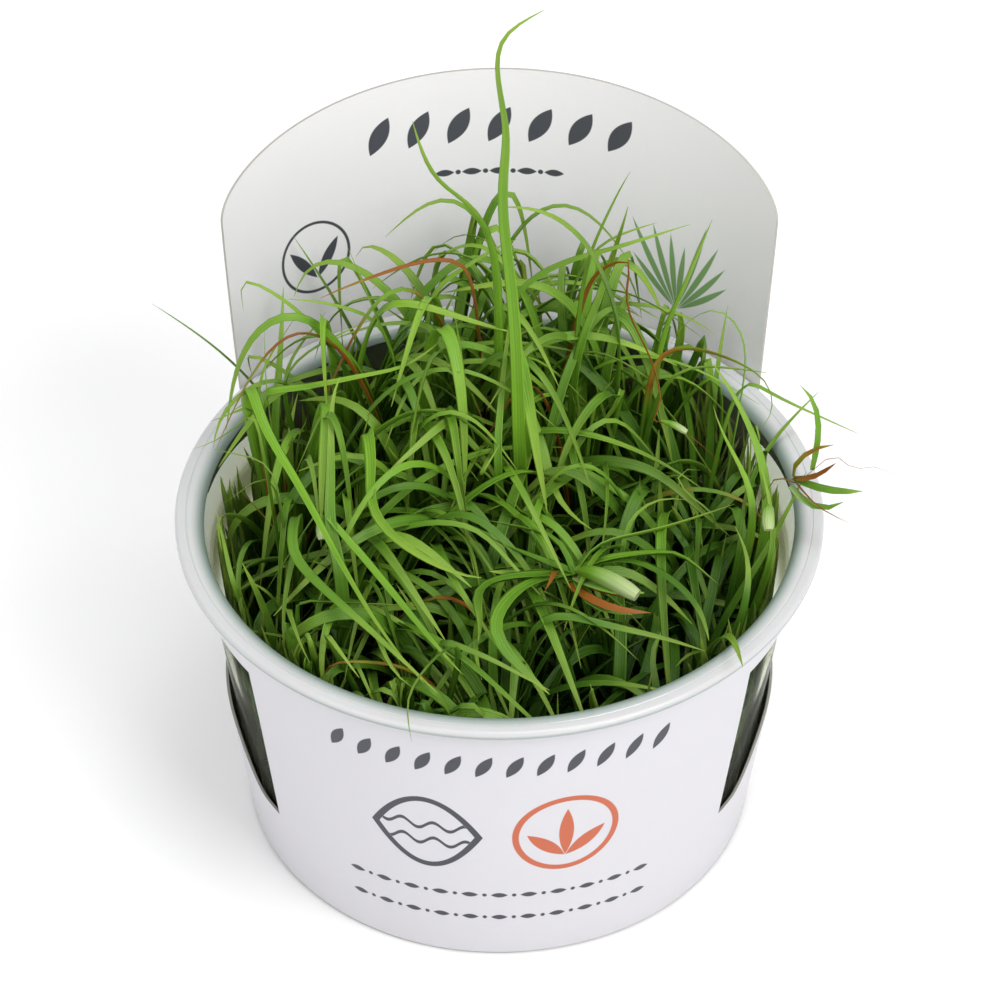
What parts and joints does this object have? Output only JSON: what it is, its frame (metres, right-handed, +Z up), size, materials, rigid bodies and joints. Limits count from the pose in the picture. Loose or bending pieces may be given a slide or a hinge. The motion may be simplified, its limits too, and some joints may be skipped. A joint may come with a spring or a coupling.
{
  "type": "tissue culture lesser creeping rush in its cup",
  "caption": "Clear culture cup of young lesser creeping rush plantlets, narrow green leaves over the rim, in a white card sleeve with side windows and a rounded header.",
  "frame": {"origin": "centre of the cup's flat base, on the cup's axis", "axes": "+Z up along the cup's axis; the sleeve's front panel faces -Y and its tall header stands at +Y"},
  "size_m": [0.1088, 0.1055, 0.1355],
  "materials": {
    "clear_plastic": "clear, faintly blue, glossy",
    "printed_card": "white coated card, satin",
    "growth_gel": "moist dark gel",
    "leaf": "smooth satin leaf",
    "root": "pale fibrous root"
  },
  "bodies": {
    "root": {"cup": "clear_plastic", "sleeve": "printed_card", "growth_gel": "growth_gel", "plantlet_01": "leaf", "plantlet_02": "leaf", "plantlet_03": "leaf", "plantlet_04": "leaf", "plantlet_05": "leaf", "plantlet_06": "leaf", "plantlet_07": "leaf", "plantlet_08": "leaf", "plantlet_09": "leaf", "plantlet_10": "leaf", "plantlet_11": "leaf", "plantlet_12": "leaf", "plantlet_13": "leaf", "plantlet_14": "leaf", "plantlet_15": "leaf", "plantlet_16": "leaf", "plantlet_17": "leaf", "plantlet_18": "leaf", "plantlet_19": "leaf", "plantlet_20": "leaf", "plantlet_21": "leaf", "plantlet_22": "leaf", "plantlet_23": "leaf", "plantlet_24": "leaf"}
  },
  "joints": []
}
